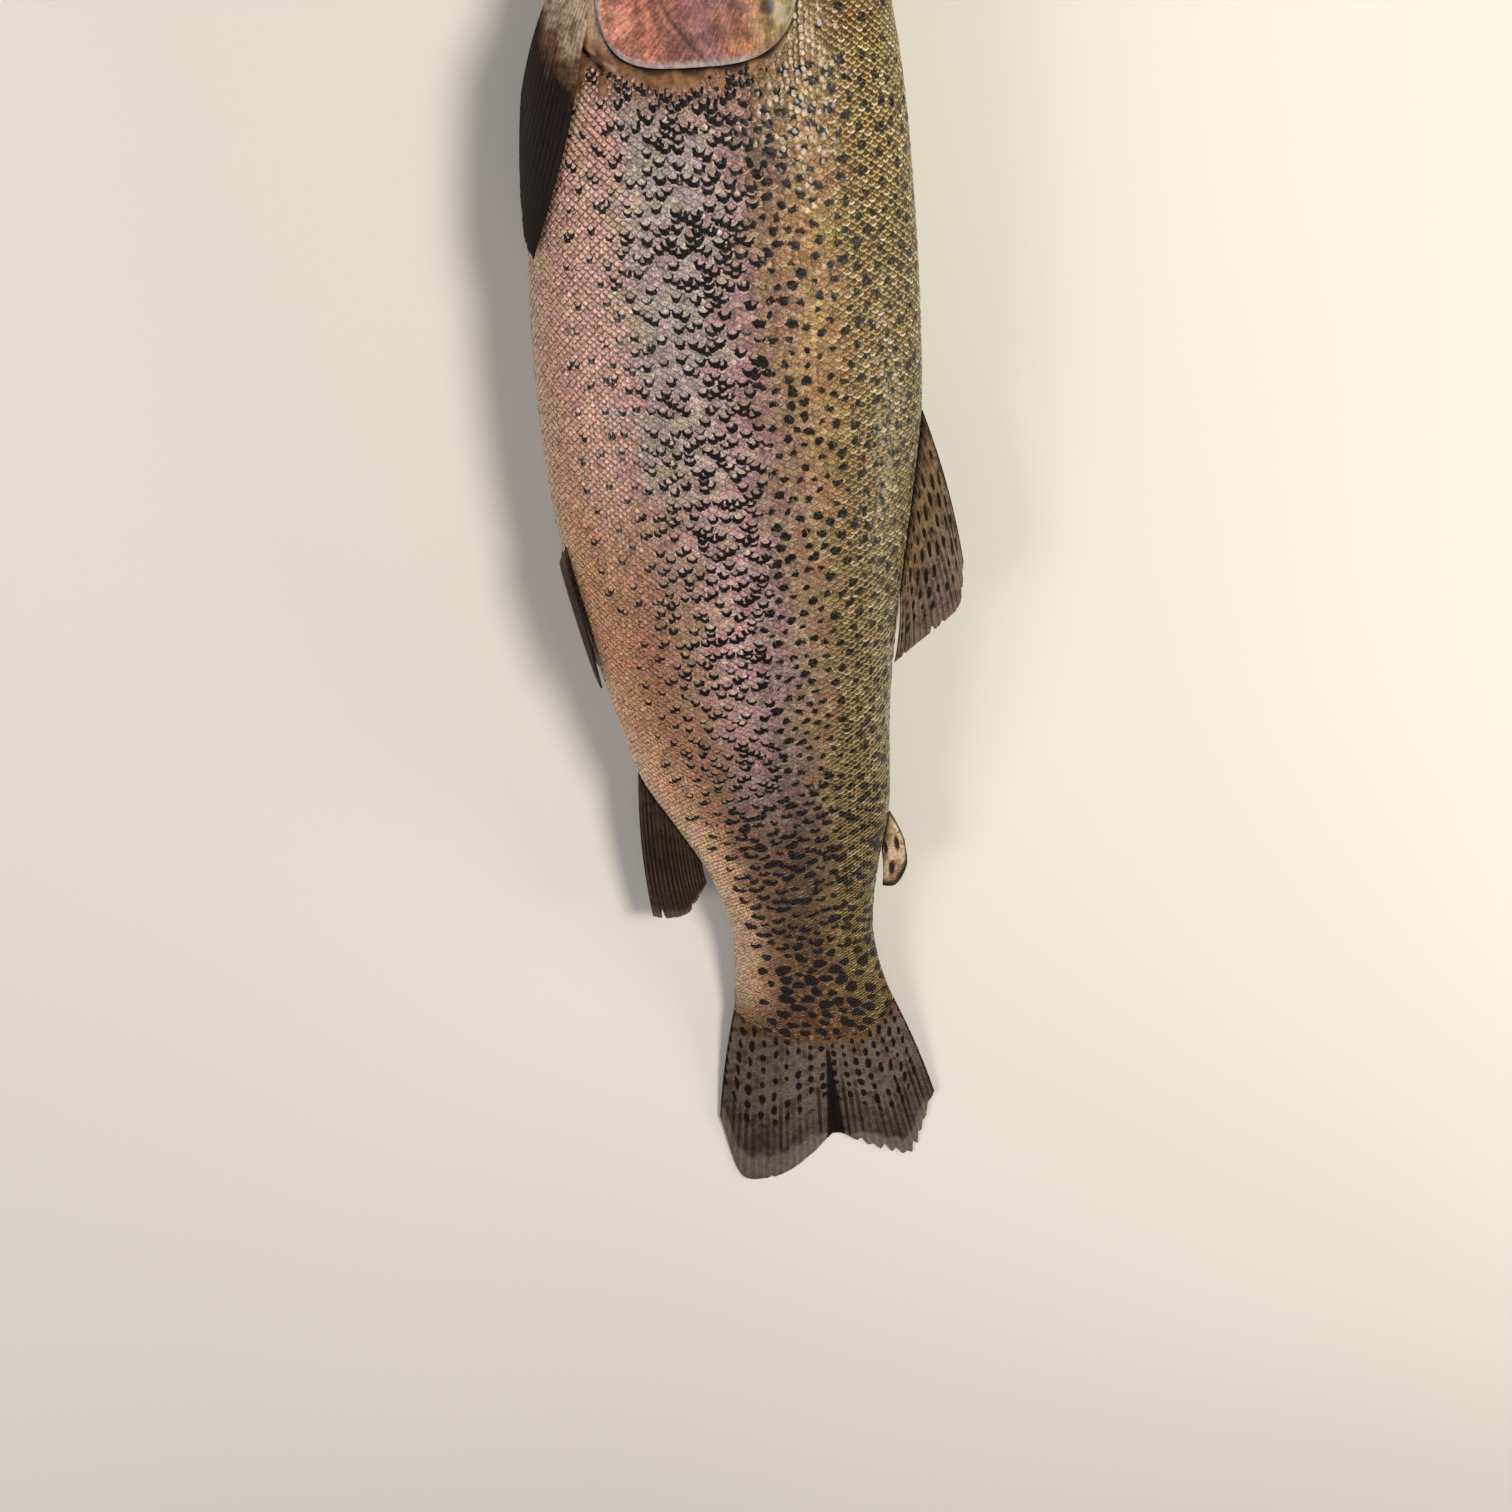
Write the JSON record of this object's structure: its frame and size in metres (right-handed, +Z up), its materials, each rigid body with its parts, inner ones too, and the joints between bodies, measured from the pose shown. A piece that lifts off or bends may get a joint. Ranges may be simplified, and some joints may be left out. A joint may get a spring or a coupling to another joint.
{
  "type": "rainbow trout",
  "caption": "Life-size rainbow trout lying on its right side: a still fish with folded fins, closed mouth and a tail resting on the floor.",
  "frame": {"origin": "centre of the bounding box, on the floor the fish lies on", "axes": "+Y towards the head, +X towards the back, +Z up out of the left flank"},
  "size_m": [0.0873, 0.3587, 0.041],
  "materials": {
    "back_skin": "wet olive-gold skin with small dark spots",
    "belly_skin": "wet pale salmon-tan skin",
    "lip_skin": "wet olive-brown skin over bone",
    "gill_cover": "copper-red to purple sheen, pale rear rim",
    "eye": "glossy eye with a gold iris and black pupil",
    "flank_skin": "wet scales, brown over grey-pink, black speckles",
    "tail_skin": "wet golden-brown scales, dense black spots",
    "fin": "grey-brown rays with rows of black spots",
    "adipose": "cream-olive, black rim and spots",
    "dark_fin": "dark red-brown rays"
  },
  "bodies": {
    "root": {"head": "back_skin", "lower_jaw": "belly_skin", "maxilla_left": "lip_skin", "maxilla_right": "lip_skin", "gill_cover_left": "gill_cover", "gill_cover_right": "gill_cover", "eye_left": "eye", "eye_right": "eye", "trunk_front": "flank_skin", "trunk_rear": "flank_skin", "tail_stem": "tail_skin", "caudal_fin": "fin", "dorsal_fin": "fin", "adipose_fin": "adipose", "anal_fin": "dark_fin", "pectoral_fin_left": "dark_fin", "pectoral_fin_right": "dark_fin", "pelvic_fin_left": "dark_fin", "pelvic_fin_right": "dark_fin"}
  },
  "joints": []
}
